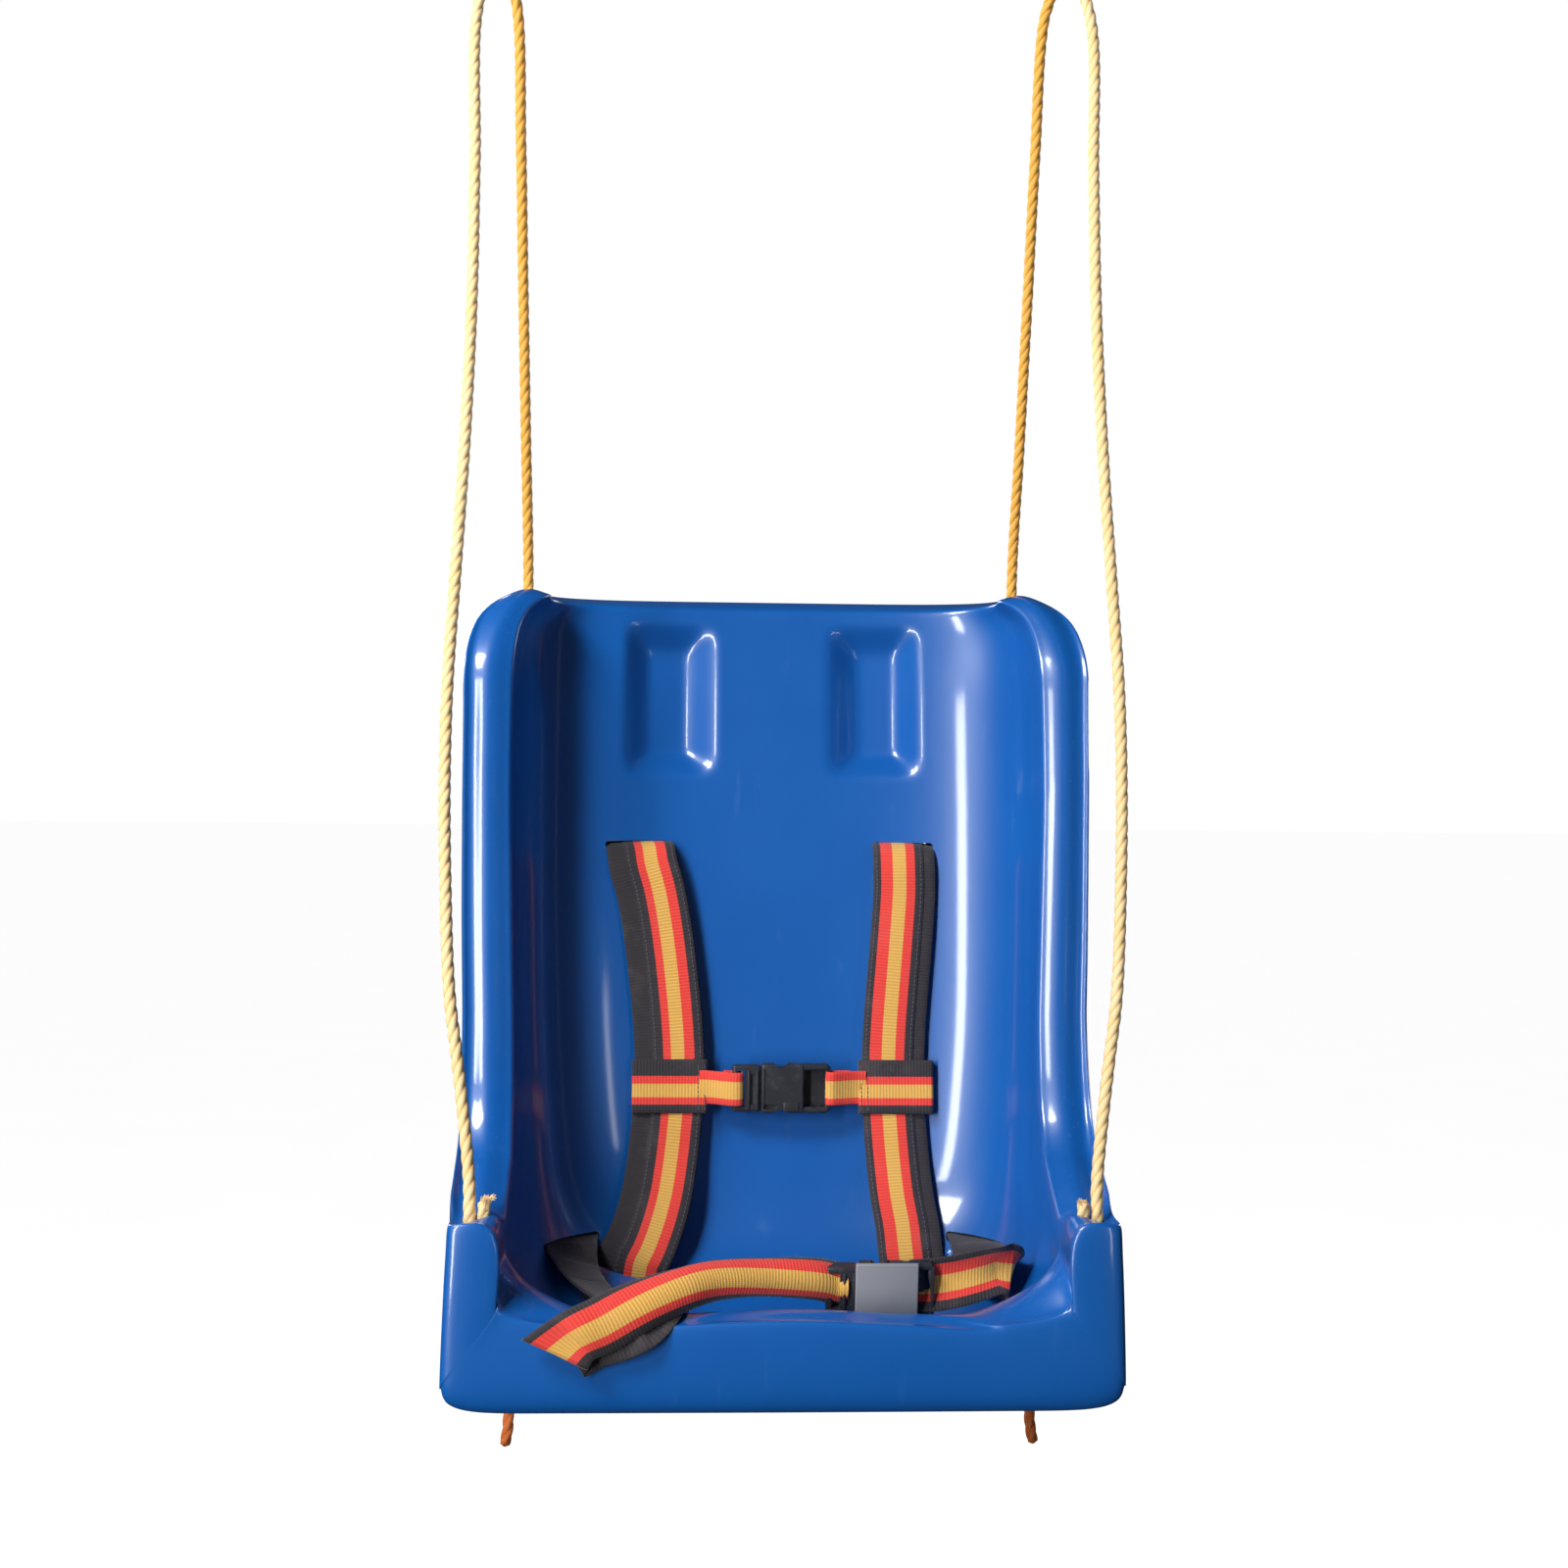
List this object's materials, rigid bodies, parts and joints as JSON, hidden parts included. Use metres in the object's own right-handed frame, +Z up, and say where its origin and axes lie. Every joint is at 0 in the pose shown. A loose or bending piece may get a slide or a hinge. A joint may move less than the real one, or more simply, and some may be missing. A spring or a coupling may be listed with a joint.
{
  "type": "support swing seat",
  "caption": "High-backed moulded swing seat on four ropes, with side wings, an H-harness and a lap belt, hung from two spring hooks.",
  "frame": {"origin": "midway between the two hooks' hanger seats, where the hangers bear inside the hooks' upper bows", "axes": "+Z up, the seat faces -Y, X runs across the seat"},
  "size_m": [0.4818, 0.3772, 1.3516],
  "materials": {
    "shell_plastic": "rotomoulded polyethylene, glossy",
    "rope": "three-strand polypropylene",
    "zinc_steel": "zinc plated",
    "dark_webbing": "woven polypropylene webbing",
    "striped_webbing": "woven striped webbing",
    "black_acetal": "moulded acetal",
    "grey_acetal": "moulded acetal, satin"
  },
  "bodies": {
    "hooks": {"hook_left": "zinc_steel", "hook_right": "zinc_steel", "gate_pin_left": "zinc_steel", "gate_pin_right": "zinc_steel"},
    "gate_left": {"hook_gate_left": "zinc_steel"},
    "gate_right": {"hook_gate_right": "zinc_steel"},
    "seat": {"seat_shell": "shell_plastic", "front_pin_left": "zinc_steel", "rear_washer_left": "zinc_steel", "front_thimble_left": "zinc_steel", "rear_thimble_left": "zinc_steel", "ring_left": "zinc_steel", "rear_knot_left": "rope", "front_rope_left": "rope", "rear_rope_left": "rope", "shoulder_strap_left": "dark_webbing", "chest_band_left": "dark_webbing", "upper_slide_left": "black_acetal", "lower_slide_left": "black_acetal", "lap_slide_left": "black_acetal", "chest_webbing_left": "striped_webbing", "lap_strap_left": "striped_webbing", "front_pin_right": "zinc_steel", "rear_washer_right": "zinc_steel", "front_thimble_right": "zinc_steel", "rear_thimble_right": "zinc_steel", "ring_right": "zinc_steel", "rear_knot_right": "rope", "front_rope_right": "rope", "rear_rope_right": "rope", "shoulder_strap_right": "dark_webbing", "chest_band_right": "dark_webbing", "upper_slide_right": "black_acetal", "lower_slide_right": "black_acetal", "lap_slide_right": "black_acetal", "chest_webbing_right": "striped_webbing", "lap_strap_right": "striped_webbing", "lap_tail_left": "striped_webbing", "chest_receiver": "black_acetal", "lap_receiver": "grey_acetal"},
    "chest_insert": {"chest_insert": "black_acetal"},
    "chest_arm_upper": {"chest_arm_upper": "black_acetal"},
    "chest_arm_lower": {"chest_arm_lower": "black_acetal"},
    "lap_insert": {"lap_insert": "black_acetal"},
    "lap_arm_upper": {"lap_arm_upper": "black_acetal"},
    "lap_arm_lower": {"lap_arm_lower": "black_acetal"}
  },
  "joints": [
    {"name": "swing", "type": "hinge", "parent": "hooks", "child": "seat", "pos_m": [0, 0, -0.066], "axis": [1, 0, 0], "range_deg": [-50, 50]},
    {"name": "gate_left_open", "type": "hinge", "parent": "hooks", "child": "gate_left", "pos_m": [-0.227, 0, -0.047], "axis": [0, 1, 0], "range_deg": [0, 24], "stiffness_Nm_per_rad": 0.12, "springref_deg": -17.19},
    {"name": "gate_right_open", "type": "hinge", "parent": "hooks", "child": "gate_right", "pos_m": [0.227, 0, -0.047], "axis": [0, -1, 0], "range_deg": [0, 24], "stiffness_Nm_per_rad": 0.12, "springref_deg": -17.19},
    {"name": "chest_latch", "type": "slide", "parent": "seat", "child": "chest_insert", "axis": [-1, 0, 0], "range_m": [0, 0.018], "deforming": ["chest_webbing_left"]},
    {"name": "chest_arm_upper_press", "type": "hinge", "parent": "chest_insert", "child": "chest_arm_upper", "pos_m": [-0.012, 0.008, -1.0475], "axis": [0, 1, 0], "range_deg": [0, 6], "stiffness_Nm_per_rad": 0.6},
    {"name": "chest_arm_lower_press", "type": "hinge", "parent": "chest_insert", "child": "chest_arm_lower", "pos_m": [-0.012, 0.008, -1.0715], "axis": [0, -1, 0], "range_deg": [0, 6], "stiffness_Nm_per_rad": 0.6},
    {"name": "lap_latch", "type": "slide", "parent": "seat", "child": "lap_insert", "axis": [-1, 0, 0], "range_m": [0, 0.022], "deforming": ["lap_strap_left"]},
    {"name": "lap_arm_upper_press", "type": "hinge", "parent": "lap_insert", "child": "lap_arm_upper", "pos_m": [0.049, -0.16567, -1.16262], "axis": [0, 0.9903, 0.1392], "range_deg": [0, 6], "stiffness_Nm_per_rad": 0.6},
    {"name": "lap_arm_lower_press", "type": "hinge", "parent": "lap_insert", "child": "lap_arm_lower", "pos_m": [0.049, -0.16233, -1.18638], "axis": [0, -0.9903, -0.1392], "range_deg": [0, 6], "stiffness_Nm_per_rad": 0.6}
  ]
}
